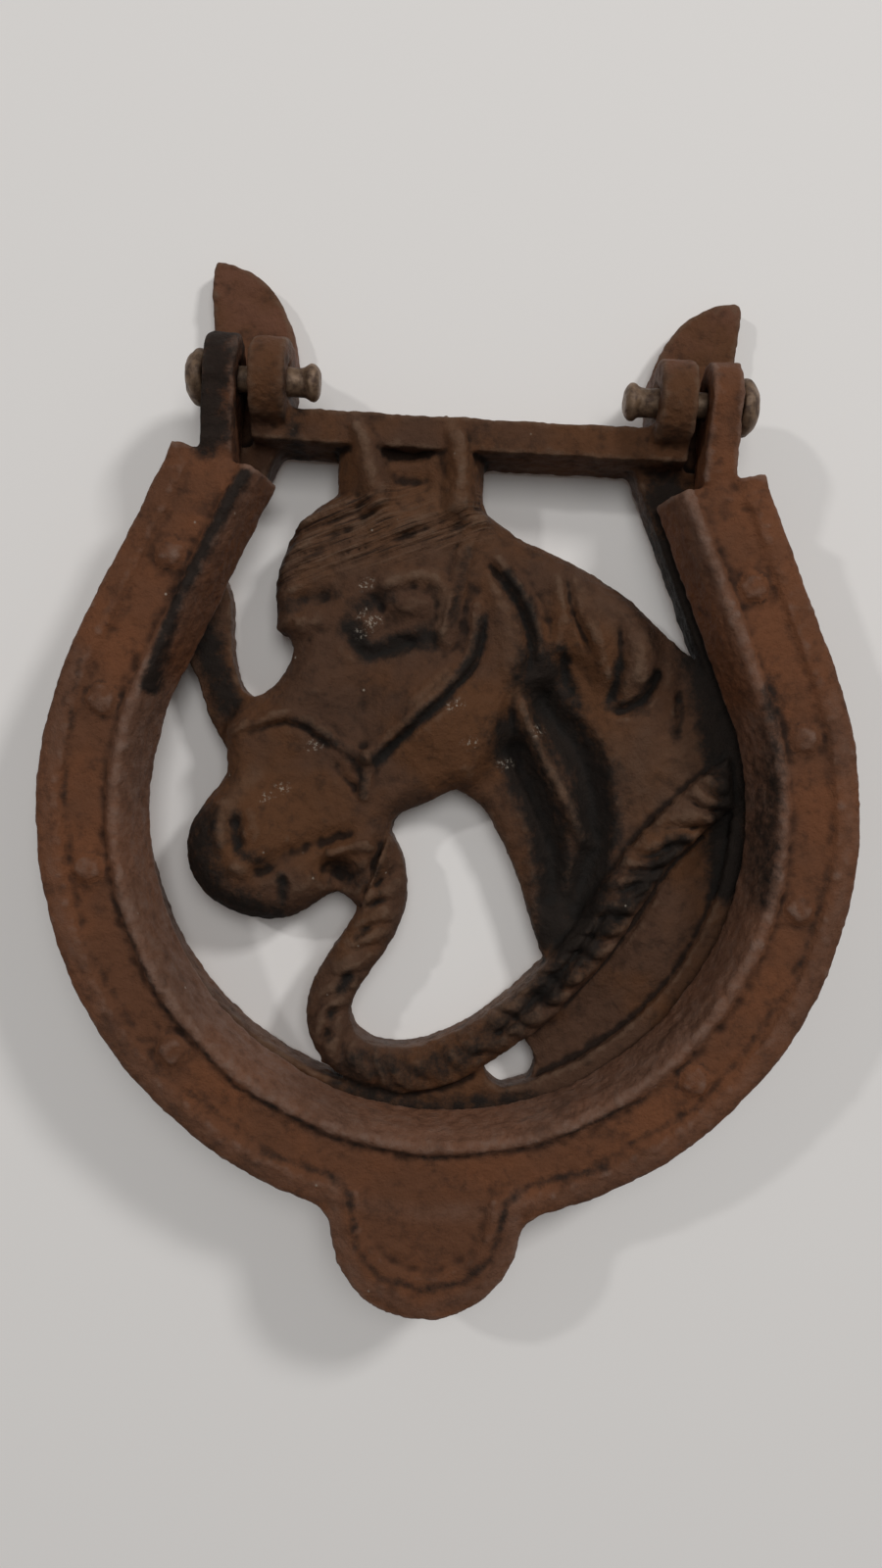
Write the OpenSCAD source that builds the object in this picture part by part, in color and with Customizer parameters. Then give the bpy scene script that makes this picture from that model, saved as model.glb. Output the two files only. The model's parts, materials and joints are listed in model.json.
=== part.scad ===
// Horse-head door knocker: an openwork cast backplate with a horseshoe striker hinged on two rivets.
// The back face lies on Y = 0 with the door on the +Y side, +Z is up as hung on the door, and +X is
// to the right of a person facing the door. The origin is the centre of the horseshoe's round part.
// A height h is a distance off the door, so a point at height h has Y = -h.

/* [Striker] */
// Outer radius of the horseshoe's round part
shoe_r = 70.8; // [69.2:0.2:72]
// Width of the horseshoe's band
shoe_w = 17.8; // [16:0.2:18.4]
// Lean of the straight heels from the vertical, in degrees
heel_lean = 23; // [21:0.5:25]
// Height of a heel's outer corner above the origin
heel_top = 61; // [59:0.5:62]
// Height of the striker's back off the door
shoe_back = 9; // [8.6:0.1:10]
// Height of the striker's raised inner bead off the door
shoe_front = 21; // [20:0.5:22]
// Depth of the channel below the bead
channel_depth = 1.4; // [1:0.1:1.8]
// Height of the flat outer margin above the channel
margin_rise = 0.7; // [0.4:0.1:0.9]
// Radius of the thumb tab
tab_r = 16.2; // [14:0.2:17]
// Distance of the tab's centre below the origin
tab_drop = 70.6; // [69.5:0.1:72]
// Radius of a nail head
nail_r = 2.8; // [2:0.2:3.2]
// How far a nail head stands out of the channel
nail_rise = 0.9; // [0.5:0.1:1.4]

/* [Hinge] */
// Height of the hinge axis above the origin
axis_z = 73.5; // [72.5:0.5:75]
// Height of the hinge axis off the door
axis_h = 14; // [13:0.5:14.5]
// Radius of a rivet's shank
pin_r = 2.6; // [2:0.1:3]
// Running clearance of a shank in the striker's lug, on the radius
pin_clearance = 0.06; // [0.02:0.01:0.1]
// Radius of a rivet's head
pin_head_r = 5; // [4:0.25:5.5]
// Radius of the lugs about the hinge axis
lug_r = 7.5; // [6.5:0.25:8]
// Thickness of the backplate's lugs
plate_lug_w = 6.5; // [5:0.25:6.5]
// Thickness of the striker's lugs
shoe_lug_w = 5.5; // [4.5:0.25:5.5]
// Gap between the two lugs of one hinge
lug_gap = 2; // [1:0.25:2]

/* [Backplate] */
// Thickness of the rim behind the striker
rim_h = 8; // [6:0.25:8.25]
// Radius of the rim's inner edge
rim_in_r = 53.4; // [52.6:0.2:53.8]
// How far the rim's outer edge sits inside the striker's
rim_inset = 2; // [1:0.25:3]
// Thickness of the wings
wing_h = 4; // [3:0.25:4.5]
// Height of the left wing's tip above the origin
wing_left_z = 98.6; // [94:0.2:99]
// Height of the right wing's tip above the origin
wing_right_z = 96.2; // [94:0.2:99]
// Height of the crossbar's lower edge above the origin
bar_z = 63.5; // [63:0.25:64]
// Height of the crossbar, from its lower edge to its upper edge
bar_w = 6; // [5:0.25:6]
// Depth of the crossbar off the door
bar_h = 13.5; // [10:0.5:14]

/* [Horse] */
// Height of the head's flat parts off the door
head_h = 12; // [11:0.5:13]
// Height of the neck off the door
neck_h = 8; // [6:0.25:8]
// Height of the chest panel off the door
chest_h = 6; // [4:0.25:7]
// Height of the ears off the door
ear_h = 16.5; // [15:0.5:17.5]
// Thickness of the forelock on the head
forelock_t = 2.6; // [1:0.2:3]
// Thickness of the mane on the neck
mane_t = 4.4; // [2:0.2:5]
// How far the bridle's straps stand out of the head's flat parts
strap_t = 2.8; // [2.6:0.1:3.2]
// Width of the bridle's straps
strap_w = 2.6; // [2:0.1:3]
// Depth of the hollow in the head's back
pocket_depth = 6; // [3:0.5:7]
// Width of the rein rope
rope_w = 8; // [7:0.25:8.5]
// Height of the rein rope off the door
rope_h = 11; // [9:0.5:12]

/* [Fixing] */
// Distance between the two tapped holes
bolt_spacing = 125; // [124:0.5:126]
// Height of the middle of the hole pattern above the origin
bolt_mid_z = 1.5; // [1:0.25:2]
// Sideways place of the two tapped holes
bolt_x = -2; // [-3:0.5:-1]
// Radius of a tapped hole, for an M5 thread
bolt_hole_r = 2.1; // [1.6:0.1:2.5]
// Depth of a tapped hole
bolt_depth = 6.5; // [4:0.5:6.5]
// Radius of a boss
boss_r = 4.5; // [4:0.25:4.75]

/* [Hidden] */
$fn = 96;
CURVE_STEPS = 5;

iron = [0.37, 0.24, 0.19];
dark_iron = [0.27, 0.18, 0.15];
rust = [0.44, 0.27, 0.17];
rivet = [0.48, 0.41, 0.30];

shoe_in_r = shoe_r - shoe_w;
heel_x = (shoe_r - heel_top * sin(heel_lean)) / cos(heel_lean);
heel_slant = 15;
channel_floor = shoe_front - channel_depth;
margin_h = channel_floor + margin_rise;
tab_floor = channel_floor - 0.1;
bead_r = 1.3;
bead_mid = shoe_in_r + 3.9;
margin_in = shoe_r - 5.2;
plate_lug_x = 32;
shoe_lug_x = plate_lug_x + plate_lug_w + lug_gap;
head_start_x = shoe_lug_x + shoe_lug_w + 0.5;
head_length = 3.5;
tail_length = 5.7;
rim_in_centre = [-2.2, 2];
tab_floor_r = tab_r - 5;
tab_floor_drop = tab_drop - 3;
tab_fillet = 5;

// A smooth curve through points: p1 and p2 are its ends and p0 and p3 shape it there.
function between(p0, p1, p2, p3, t) =
    0.5 * (2 * p1 + (p2 - p0) * t + (2 * p0 - 5 * p1 + 4 * p2 - p3) * t * t
    + (3 * p1 - p0 - 3 * p2 + p3) * t * t * t);

// An open smooth curve through a list of points.
function smooth(p, steps = CURVE_STEPS) = let (last = len(p) - 1) concat(
    [for (i = [0 : last - 1]) for (k = [0 : steps - 1])
        between(p[max(i - 1, 0)], p[i], p[i + 1], p[min(i + 2, last)], k / steps)],
    [p[last]]);

// The unit vector across a polyline at its point i.
function across(p, i) = let (
    d = p[min(i + 1, len(p) - 1)] - p[max(i - 1, 0)]
    ) [-d[1], d[0]] / norm(d);

// The outline of a band of constant width along a polyline.
function band(p, width) = concat(
    [for (i = [0 : len(p) - 1]) p[i] + across(p, i) * width / 2],
    [for (i = [len(p) - 1 : -1 : 0]) p[i] - across(p, i) * width / 2]);

function arc(centre, r, a0, a1, steps) =
    [for (k = [0 : steps]) let (a = a0 + (a1 - a0) * k / steps) centre + r * [cos(a), sin(a)]];

// Raises an outline drawn in X and Z from height h0 to height h1 off the door.
module raised(h0, h1) {
    translate([0, -h0, 0]) rotate([90, 0, 0]) linear_extrude(h1 - h0) children();
}

// A round bar along X about the hinge axis, from x0 to x1.
module axle(r, x0, x1) {
    translate([x0, -axis_h, axis_z]) rotate([0, 90, 0]) cylinder(r = r, h = x1 - x0);
}

// A low round dome on a face at height h: a cap of a sphere with base radius r and the given rise.
module dome(x, z, h, r, rise) {
    ball_r = (r * r + rise * rise) / (2 * rise);
    translate([x, -h, z]) intersection() {
        translate([0, ball_r - rise, 0]) sphere(r = ball_r);
        rotate([90, 0, 0]) cylinder(r = r, h = rise);
    }
}

// Everything above the slanted plane that ends the heels, on the right side.
module above_heel_end() {
    translate([heel_x, 0, heel_top]) rotate([0, -heel_slant, 0])
        translate([-60, -60, 0]) cube([120, 120, 60]);
}

// One edge of a horseshoe, from the left heel's end at the given top, round below and up the right
// heel: an arc about a centre with two straight lines tangent to it.
function horseshoe_edge(centre, r, top) = let (
    rise = (top - centre[1] - r * sin(heel_lean)) / cos(heel_lean),
    end_x = r * cos(heel_lean) - rise * sin(heel_lean)
    ) concat(
    [[centre[0] - end_x, top]],
    arc(centre, r, 180 - heel_lean, 360 + heel_lean, 56),
    [[centre[0] + end_x, top]]);

function mirrored(p) = [for (q = p) [-q[0], q[1]]];

function reversed(p) = [for (i = [len(p) - 1 : -1 : 0]) p[i]];

module rim_outline() {
    polygon(concat(
        horseshoe_edge([0, 0], shoe_r - rim_inset, bar_z),
        reversed(horseshoe_edge(rim_in_centre, rim_in_r, bar_z))));
}

// The web that joins the rope's low bend to the rim.
module web_outline() {
    polygon(smooth([[-22, -46], [-10, -47], [4, -45], [8.6, -44.4], [9.6, -47.2], [11.4, -50], [0, -54]], 3));
}

// --- horse outlines ---

HEAD_LEFT = [
    [-23, 56], [-26.5, 53.4], [-30.2, 49.4], [-32.3, 44.5], [-33.4, 38.5], [-32.9, 34], [-32.9, 31],
    [-30.8, 30], [-29.6, 27.6], [-30.8, 23.6], [-34, 19.6], [-40, 13], [-40.6, 8], [-40.4, 4.6],
    [-42.6, 1.2], [-45.9, -4.2], [-46.8, -8.6], [-45.6, -13.8], [-41.6, -18.2], [-35.4, -20.9],
    [-29, -21.1], [-24.6, -19.1], [-21.4, -16.5], [-18.9, -15.7], [-16.8, -16.7], [-14.6, -18.8]
];
HEAD_JAW = [[-10.2, -4.2], [-9, -1.2], [-4.2, 1.2], [0.2, 3.8], [3.4, 4.4]];
HEAD_BACK = [[7.6, 12], [10.4, 22], [14.6, 31.5], [11.6, 40], [5.6, 49.4], [3.2, 56]];

NECK_CREST = [
    [0, 56.5], [3.6, 54.4], [9.8, 50.4], [16, 47.9], [22.6, 45], [28.4, 41.8], [33.6, 38], [38.6, 33.6],
    [46, 28]
];
NECK_THROAT = [[20, -28], [17.4, -22], [15, -15.4], [12.6, -9.6], [9.8, -4], [6.4, 1.2], [2, 4]];

ROPE_LINE = smooth([
    [-14.6, -5], [-11.4, -10], [-10.6, -16], [-12.4, -22], [-15.8, -27.6], [-18.7, -33], [-19.5, -38],
    [-17.6, -42.8], [-13, -46], [-7, -46.9], [-1, -45.9], [5, -43.3], [11, -39.2], [17, -34],
    [22.6, -28], [27.4, -21.5], [31.4, -14.5], [35.6, -7.6], [41, -1], [47, 5.2], [54, 11]
], 4);

module head_outline() {
    polygon(concat([[-23, bar_z]], smooth(HEAD_LEFT), smooth(HEAD_JAW), smooth(HEAD_BACK), [[3.2, bar_z]]));
}

// The two ears: each runs from its tip above the crossbar down to the poll.
module ear_outlines() {
    polygon(smooth([
        [-22.8, 54.6], [-23.4, 60], [-22.9, 66], [-21.9, 69.8], [-20.6, 70.8], [-19.2, 69.8], [-17, 66],
        [-15.4, 60], [-14.6, 54.6]
    ]));
    polygon(smooth([
        [-4.4, 52.6], [-6.6, 57], [-7.2, 61], [-6.6, 66], [-5.8, 69.8], [-4.6, 70.9], [-3.2, 69.8], [-0.8, 66],
        [1.2, 61], [2.2, 55]
    ]));
}

module rope_outline() {
    polygon(band(ROPE_LINE, rope_w));
}

module neck_outline() {
    difference() {
        polygon(concat(smooth(NECK_CREST), [[60, 28], [60, 8]], smooth(NECK_THROAT)));
        head_outline();
        rope_outline();
        rim_outline();
        translate([-30, bar_z]) square([60, 20]);
        below_rope();
    }
}

// The ground on the chest's side of the rope, out to beyond the rim.
module below_rope() {
    polygon(concat([for (p = ROPE_LINE) if (p[0] > 8 && p[1] > -42) p], [[80, 11], [80, -60], [8, -60]]));
}

module chest_outline() {
    difference() {
        intersection() {
            below_rope();
            circle(r = shoe_in_r);
            polygon(concat(
                smooth([[16.4, -41], [18.2, -44], [17.6, -47.4], [14, -53]]),
                [[70, -53], [70, 14], [20, 14]]));
        }
        rope_outline();
        rim_outline();
    }
}

module strut_outline() {
    difference() {
        polygon(concat(
            smooth([[-53, 30], [-48.4, 23.8], [-46.4, 19.8], [-45, 15.6], [-43, 12], [-40, 8]]),
            [[-36, 14]],
            smooth([[-33, 20.8], [-36.2, 18.9], [-39, 21], [-40.7, 27], [-41.6, 36], [-43.4, 41], [-48, 46]])));
        rim_outline();
        head_outline();
    }
}

module boss_outlines(r) {
    for (side = [-1, 1]) translate([bolt_x, bolt_mid_z + side * bolt_spacing / 2]) circle(r = r);
}

// --- backplate ---

module backplate_rim() {
    color(dark_iron) difference() {
        union() {
            raised(0, rim_h) rim_outline();
            raised(0, rim_h) web_outline();
        }
        boss_solids();
    }
}

module crossbar_block() {
    translate([-plate_lug_x, -bar_h, bar_z]) cube([2 * plate_lug_x, bar_h, bar_w]);
}

module crossbar() {
    color(iron) difference() {
        crossbar_block();
        boss_solids();
    }
}

// A wing on the right side: a flat plate that rises from the rim to a blunt point.
module wing(tip_z) {
    difference() {
        raised(0, wing_h) difference() {
            polygon(concat(
                [[plate_lug_x, bar_z], [46.9, bar_z]],
                smooth([[47.6, 72], [47.8, 84], [48.6, 92], [48.9, tip_z - 2], [48.2, tip_z], [46.8, tip_z - 0.1],
                    [42.8, tip_z - 1.2], [38.6, tip_z - 3.8], [35.6, tip_z - 7.6], [33.4, tip_z - 12.2],
                    [32.2, tip_z - 17.4]]),
                [[plate_lug_x, tip_z - 24]]));
            rim_outline();
        }
        plate_lug_solid();
    }
}

module wing_left() {
    color(iron) mirror([1, 0, 0]) wing(wing_left_z);
}

module wing_right() {
    color(iron) wing(wing_right_z);
}

module plate_lug_solid() {
    axle(lug_r, plate_lug_x, plate_lug_x + plate_lug_w);
    translate([plate_lug_x, -axis_h, bar_z]) cube([plate_lug_w, axis_h, axis_z + lug_r - bar_z]);
}

module plate_lug() {
    difference() {
        plate_lug_solid();
        axle(pin_r, plate_lug_x - 1, plate_lug_x + plate_lug_w + 1);
    }
}

module hinge_lug_left() {
    color(iron) mirror([1, 0, 0]) plate_lug();
}

module hinge_lug_right() {
    color(iron) plate_lug();
}

// A rivet on the right side: a shank with its tail towards the middle and a domed head outside.
module hinge_pin() {
    shank = head_start_x - plate_lug_x + tail_length;
    edge = 1.5;
    dome_r = head_length - edge;
    translate([plate_lug_x - tail_length, -axis_h, axis_z]) rotate([0, 90, 0]) rotate_extrude() polygon(concat(
        [[0, 0], [pin_r - 0.3, 0], [pin_r, 0.3], [pin_r, shank], [pin_head_r, shank]],
        arc([pin_head_r - dome_r, shank + edge], dome_r, 0, 90, 6),
        [[0, shank + head_length]]));
}

module hinge_pin_left() {
    color(rivet) mirror([1, 0, 0]) hinge_pin();
}

module hinge_pin_right() {
    color(rivet) hinge_pin();
}

module boss_solids() {
    raised(0, rim_h) boss_outlines(boss_r);
}

module bolt_bosses() {
    color(dark_iron) difference() {
        boss_solids();
        raised(-1, bolt_depth) boss_outlines(bolt_hole_r);
    }
}

// --- horse ---

module horse_head() {
    color(iron) difference() {
        union() {
            raised(0, head_h) head_outline();
            dome(-5, 15, head_h, 9.5, 2.2);
            dome(-34.5, -9, head_h, 9, 1.6);
            dome(-11.4, 34.6, head_h, 4, 1.6);
        }
        raised(head_h, 30) strap_outlines();
        raised(-1, 30) ear_outlines();
        raised(-1, pocket_depth) head_pocket_outline();
        boss_solids();
    }
}

// The hollow in the head's back, which keeps the casting's walls even.
module head_pocket_outline() {
    polygon(smooth([
        [-19, 50], [-26, 46], [-28.6, 38], [-25.4, 28], [-30, 14], [-36, 2], [-41.6, -7], [-38, -14.6],
        [-30, -16], [-22, -11], [-14, -2], [-4, 6], [3.6, 14], [7, 24], [9, 32], [4, 42], [-3, 50], [-10, 52],
        [-19, 50]
    ]));
}

module ears() {
    color(iron) difference() {
        raised(0, ear_h) ear_outlines();
        crossbar_block();
        boss_solids();
    }
}

module forelock() {
    color(dark_iron) raised(head_h, head_h + forelock_t) difference() {
        polygon(smooth([
            [-23, 56], [-26.3, 53.2], [-29.8, 49.2], [-31.9, 44.4], [-33, 38.6], [-32.3, 33.4], [-29.4, 31.2],
            [-25.6, 34.2], [-20.6, 38.8], [-14.6, 41.6], [-7.6, 44.8], [-3.4, 50], [-2.6, 55], [-10, 56.4],
            [-18, 56.6], [-23, 56]
        ]));
        ear_outlines();
    }
}

// The bridle: a browband, a cheek strap and a noseband, as one raised strap pattern.
module bridle() {
    color(dark_iron) raised(head_h, head_h + strap_t) strap_outlines();
}

module strap_outlines() {
    intersection() {
        union() {
            polygon(band(smooth([[0.6, 50], [-0.4, 42], [-2.6, 34], [-1.8, 25]]), strap_w));
            polygon(band(smooth([[5.4, 36], [2.8, 29.6], [-3.6, 21.6], [-10.6, 14.4], [-17.6, 9]]), strap_w));
            polygon(band(
                smooth([[-38, 13.4], [-33, 15.4], [-27.4, 15.4], [-22, 12], [-16.8, 6.2], [-14.4, 0]]), strap_w));
        }
        head_outline();
    }
}

module horse_neck() {
    color(iron) raised(0, neck_h) neck_outline();
}

module mane() {
    color(dark_iron) raised(neck_h, neck_h + mane_t) difference() {
        intersection() {
            neck_outline();
            polygon(smooth([
                [1, 60], [9.8, 50], [20, 45.6], [28.2, 41.2], [33.6, 37.2], [36, 31], [34.6, 25], [30, 23],
                [25.4, 26.6], [20.8, 29.6], [17, 25], [14, 20], [9, 26], [6, 44]
            ]));
        }
        head_outline();
    }
}

module chest_panel() {
    color(iron) raised(0, chest_h) chest_outline();
}

module rein_rope() {
    color(dark_iron) difference() {
        union() {
            raised(0, rim_h) rope_outline();
            raised(0, rope_h) intersection() {
                rope_outline();
                circle(r = shoe_in_r - 1.5);
            }
        }
        raised(-1, 30) head_outline();
        raised(-1, rim_h) rim_outline();
        raised(-1, rim_h) web_outline();
    }
}

module nose_bridge() {
    color(iron) raised(0, rim_h) strut_outline();
}

// --- striker ---

// The band's cross-section: x is the distance from the round part's centre, y the height. From the
// outside in it is a flat margin, the channel, the bead and a sloped inner wall.
module shoe_section() {
    polygon(concat(
        [[shoe_r - 0.8, shoe_back], [shoe_r, shoe_back + 0.8], [shoe_r, margin_h - 1.5]],
        arc([shoe_r - 1.5, margin_h - 1.5], 1.5, 0, 90, 6),
        [[margin_in + 0.5, margin_h], [margin_in, channel_floor], [bead_mid + 1.6, channel_floor]],
        arc([bead_mid, shoe_front - bead_r], bead_r, 10, 160, 8),
        [[shoe_in_r + 1.6, shoe_front - 3.4], [shoe_in_r, shoe_back + 1], [shoe_in_r + 0.8, shoe_back]]));
}

// One straight heel on the right side, tangent to the round part.
module heel() {
    heel_length = 80;
    difference() {
        rotate([0, -heel_lean, 0]) linear_extrude(heel_length) mirror([0, 1]) shoe_section();
        above_heel_end();
    }
}

module striker_shoe() {
    color(rust) difference() {
        union() {
            rotate([90, 0, 0]) rotate([0, 0, 180 - heel_lean])
                rotate_extrude(angle = 180 + 2 * heel_lean) shoe_section();
            heel();
            mirror([1, 0, 0]) heel();
        }
        raised(tab_floor, 40) tab_floor_outline();
    }
}

// The thumb tab, with the fillets that lead into it from the shoe's outer edge.
module tab_outline() {
    reach = shoe_r + tab_fillet;
    span = tab_r + tab_fillet;
    a = acos((reach * reach + tab_drop * tab_drop - span * span) / (2 * reach * tab_drop));
    fillet_at = [reach * sin(a), -reach * cos(a)];
    b = atan2(fillet_at[1] + tab_drop, fillet_at[0]);
    side = concat(
        arc(fillet_at, tab_fillet, 96 + a, 180 + b, 8),
        arc([0, -tab_drop], tab_r, b, -90, 16));
    polygon(concat(side, reversed(mirrored(side))));
}

// The tab's recessed floor, which opens into the shoe's channel.
module tab_floor_outline() {
    polygon(concat(
        arc([0, -tab_floor_drop], tab_floor_r, 180, 360, 24),
        [[tab_floor_r, -bead_mid - 4], [-tab_floor_r, -bead_mid - 4]]));
}

module striker_tab() {
    color(rust) difference() {
        raised(shoe_back, margin_h) difference() {
            tab_outline();
            circle(r = shoe_r);
        }
        raised(tab_floor, 40) tab_floor_outline();
    }
}

// A striker lug on the right side: a flat ear from the heel's end up round the rivet.
module shoe_lug() {
    x1 = shoe_lug_x + shoe_lug_w;
    difference() {
        union() {
            axle(lug_r, shoe_lug_x, x1);
            translate([shoe_lug_x, 0, 0]) rotate([90, 0, 90]) linear_extrude(shoe_lug_w) polygon([
                [-shoe_back, heel_top - 8], [-channel_floor, heel_top - 8], [-channel_floor, heel_top + 2],
                [-axis_h - lug_r, axis_z], [-axis_h + lug_r, axis_z], [-shoe_back, heel_top + 4]
            ]);
        }
        axle(pin_r + pin_clearance, shoe_lug_x - 1, x1 + 1);
        below_heel_end();
    }
}

// Everything below the slanted plane that ends the heels, on the right side.
module below_heel_end() {
    translate([heel_x, 0, heel_top]) rotate([0, -heel_slant, 0])
        translate([-60, -60, -60]) cube([120, 120, 60]);
}

module striker_lug_left() {
    color(rust) mirror([1, 0, 0]) shoe_lug();
}

module striker_lug_right() {
    color(rust) shoe_lug();
}

// A low turned nail head on a face at height h.
module nail_head(x, z, h) {
    translate([x, -h, z]) rotate([90, 0, 0]) rotate_extrude() polygon(concat(
        [[0, 0]],
        [for (a = [0 : 22.5 : 90]) [nail_r * cos(a), nail_rise * sin(a)]]));
}

// Eight low nail heads in the channel, four each side.
module nail_heads() {
    channel_mid = (bead_mid + bead_r + margin_in) / 2;
    up_heel = 18.6;
    color(dark_iron) for (side = [-1, 1]) {
        for (a = [-44, -12, 15]) {
            nail_head(side * channel_mid * cos(a), channel_mid * sin(a), channel_floor);
        }
        nail_head(
            side * (channel_mid * cos(heel_lean) - up_heel * sin(heel_lean)),
            channel_mid * sin(heel_lean) + up_heel * cos(heel_lean),
            channel_floor);
    }
}

// The round button on the striker's back that knocks on the rim.
module strike_button() {
    button_gap = 0.3;
    color(rust) translate([0, -shoe_back, -shoe_in_r - 8]) rotate([-90, 0, 0])
        cylinder(r = 4, h = shoe_back - rim_h - button_gap);
}

backplate_rim();
crossbar();
wing_left();
wing_right();
hinge_lug_left();
hinge_lug_right();
horse_head();
ears();
forelock();
bridle();
horse_neck();
mane();
chest_panel();
rein_rope();
nose_bridge();
bolt_bosses();
hinge_pin_left();
hinge_pin_right();
striker_shoe();
striker_tab();
striker_lug_left();
striker_lug_right();
nail_heads();
strike_button();
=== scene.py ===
"""Door knocker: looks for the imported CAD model.

Two rough brown castings and two rivets are built in code around the fixed frame. The horse's relief is
sculpted as a height field over the outline of its CAD nodes, joined to the rim, and given a cast skin.
Lengths in the sculpting part are millimetres in the row frame: x to the right, z up, h off the door.
"""

import json
import math

import bpy
import numpy as np
from mathutils import Matrix, Vector
from mathutils.bvhtree import BVHTree


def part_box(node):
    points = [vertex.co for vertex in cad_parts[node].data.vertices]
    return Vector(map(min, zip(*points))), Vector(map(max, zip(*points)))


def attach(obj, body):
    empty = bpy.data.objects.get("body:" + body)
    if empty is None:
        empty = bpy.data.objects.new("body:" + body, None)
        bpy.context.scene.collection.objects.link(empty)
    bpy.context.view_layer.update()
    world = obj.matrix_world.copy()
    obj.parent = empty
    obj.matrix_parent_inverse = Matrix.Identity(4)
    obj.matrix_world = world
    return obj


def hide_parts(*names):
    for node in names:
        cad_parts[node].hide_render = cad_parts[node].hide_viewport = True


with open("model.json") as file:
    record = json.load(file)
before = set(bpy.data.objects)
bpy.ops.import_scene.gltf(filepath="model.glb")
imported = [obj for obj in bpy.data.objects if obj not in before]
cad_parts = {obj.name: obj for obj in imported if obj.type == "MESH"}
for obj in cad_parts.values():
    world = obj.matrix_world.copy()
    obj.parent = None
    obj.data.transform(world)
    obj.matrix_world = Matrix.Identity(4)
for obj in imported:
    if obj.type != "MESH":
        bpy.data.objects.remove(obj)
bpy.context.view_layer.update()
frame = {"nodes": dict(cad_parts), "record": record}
record = frame["record"]
nodes = frame["nodes"]
bodies = record["behaviour"]["bodies"]

MM = 0.001
HORSE = [
    "horse_head", "ears", "forelock", "bridle", "horse_neck", "mane", "chest_panel", "rein_rope",
    "nose_bridge"]
PINS = ["hinge_pin_left", "hinge_pin_right"]
PLATE = [n for n in bodies["backplate"] if n not in PINS]
STRIKER = bodies["striker"]

# The cell of the grid that the relief is sculpted on, and of the coarser one over the whole striker
STEP = 0.25
SHOE_STEP = 0.5
# The remesh that gives each casting its even skin
VOXEL = 0.36


# ---------------------------------------------------------------- small numeric helpers

def smoothstep(a, b, v):
    """0 before a, 1 after b and a smooth slope between. b may be the smaller one."""
    t = np.clip((v - a) / (b - a), 0, 1)
    return t * t * (3 - 2 * t)


def soft_min(a, b, k):
    """The lower of two fields, rounded over a height of about k where they cross."""
    t = np.clip(0.5 + 0.5 * (b - a) / k, 0, 1)
    return b * (1 - t) + a * t - k * t * (1 - t)


def curve(points, steps=8):
    """A smooth line through given points."""
    p = np.array(points, float)
    p = np.vstack([2 * p[0] - p[1], p, 2 * p[-1] - p[-2]])
    out = []
    for i in range(1, len(p) - 2):
        t = np.arange(steps)[:, None] / steps
        a, b, c, d = p[i - 1], p[i], p[i + 1], p[i + 2]
        out.append(0.5 * (2 * b + (c - a) * t + (2 * a - 5 * b + 4 * c - d) * t * t
                          + (3 * b - a - 3 * c + d) * t ** 3))
    return np.vstack(out + [p[-2:-1]])


class Noise:
    """Smooth random values in space, the same on every run."""

    def __init__(self, seed, size=32):
        self.size = size
        self.values = np.random.default_rng(seed).uniform(-1, 1, (size, size, size))

    def at(self, p, scale):
        """The value at each point, changing over about scale."""
        q = np.asarray(p, float) / scale
        i = np.floor(q).astype(int)
        f = q - i
        f = f * f * (3 - 2 * f)
        n = self.size
        total = 0.0
        for dx in (0, 1):
            for dy in (0, 1):
                for dz in (0, 1):
                    w = (np.abs(1 - dx - f[:, 0]) * np.abs(1 - dy - f[:, 1]) * np.abs(1 - dz - f[:, 2]))
                    corner = self.values[(i[:, 0] + dx) % n, (i[:, 1] + dy) % n, (i[:, 2] + dz) % n]
                    total = total + w * corner
        return total


# ---------------------------------------------------------------- the sculpting board

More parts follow.
